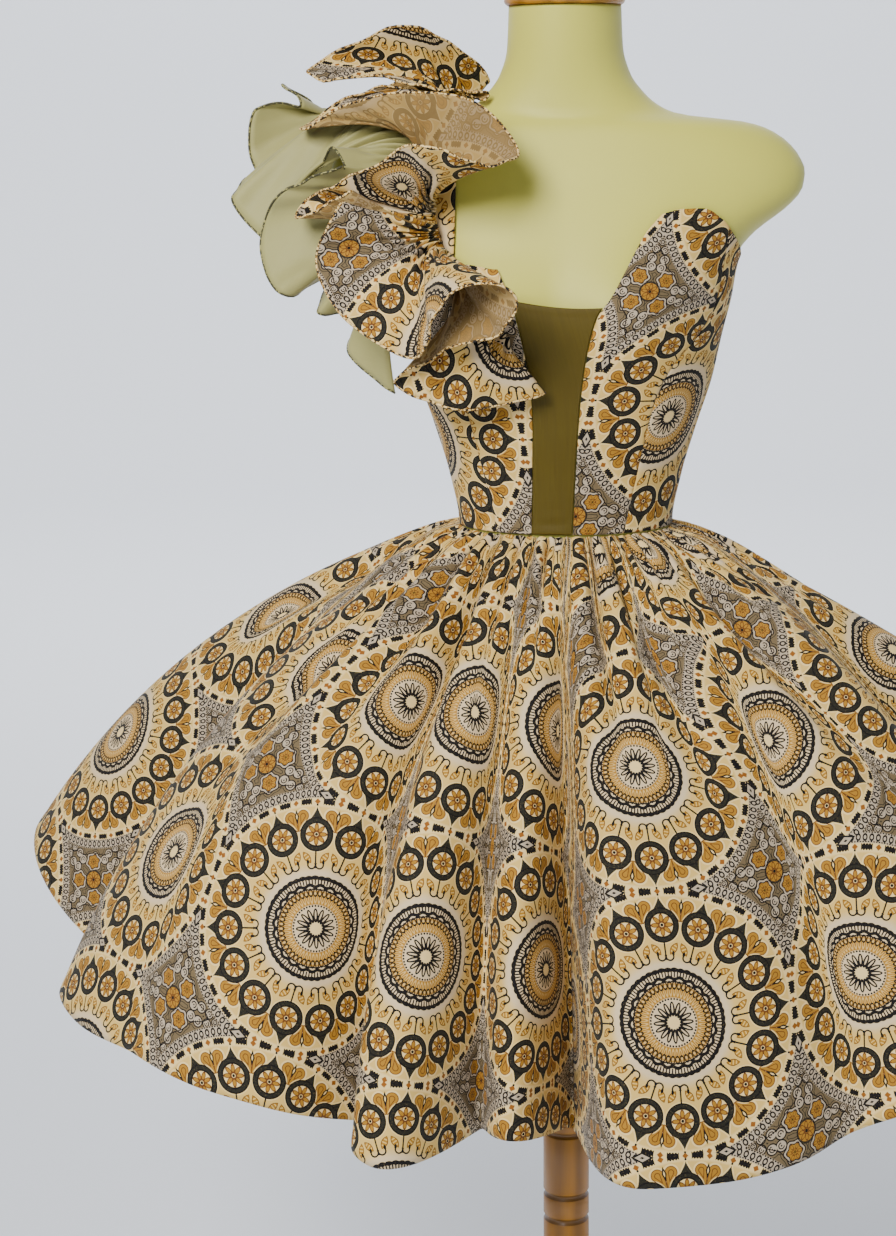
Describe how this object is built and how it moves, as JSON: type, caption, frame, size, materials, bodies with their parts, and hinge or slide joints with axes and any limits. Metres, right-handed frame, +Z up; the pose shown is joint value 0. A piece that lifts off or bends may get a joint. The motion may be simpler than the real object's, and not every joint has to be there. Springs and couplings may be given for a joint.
{
  "type": "shweshwe dress on a limbless dress form and stand",
  "caption": "One-shoulder party dress in printed cotton with a net-filled plunge, a ruffled shoulder and a full gathered skirt, on a dress form with a turned wooden stand.",
  "frame": {"origin": "on the floor under the pole, at the centre of the base's underside", "axes": "+Z up, -Y the wearer's front, +X the wearer's left"},
  "size_m": [1.1775, 0.8427, 1.5953],
  "materials": {
    "printed_cotton": "crisp starched cotton, golden and cream medallions with black outlines, low sheen",
    "olive_sateen": "plain olive cotton sateen with a soft sheen",
    "stretch_net": "fine olive stretch net",
    "form_jersey": "smooth pale olive jersey cover",
    "turned_wood": "varnished warm brown turned wood"
  },
  "bodies": {
    "root": {"form_torso": "form_jersey", "neck_cap": "turned_wood", "stand_pole": "turned_wood", "stand_base": "turned_wood", "bodice_left_centre_front": "printed_cotton", "bodice_left_side_front": "printed_cotton", "bodice_left_back": "printed_cotton", "bodice_right_centre_front": "printed_cotton", "bodice_right_side_front": "printed_cotton", "bodice_right_back": "printed_cotton", "plunge_net": "stretch_net", "shoulder_strap": "printed_cotton", "ruffle_print": "printed_cotton", "ruffle_olive": "olive_sateen", "skirt_front_right": "printed_cotton", "skirt_front_left": "printed_cotton", "skirt_back_left": "printed_cotton", "skirt_back_right": "printed_cotton"}
  },
  "joints": []
}
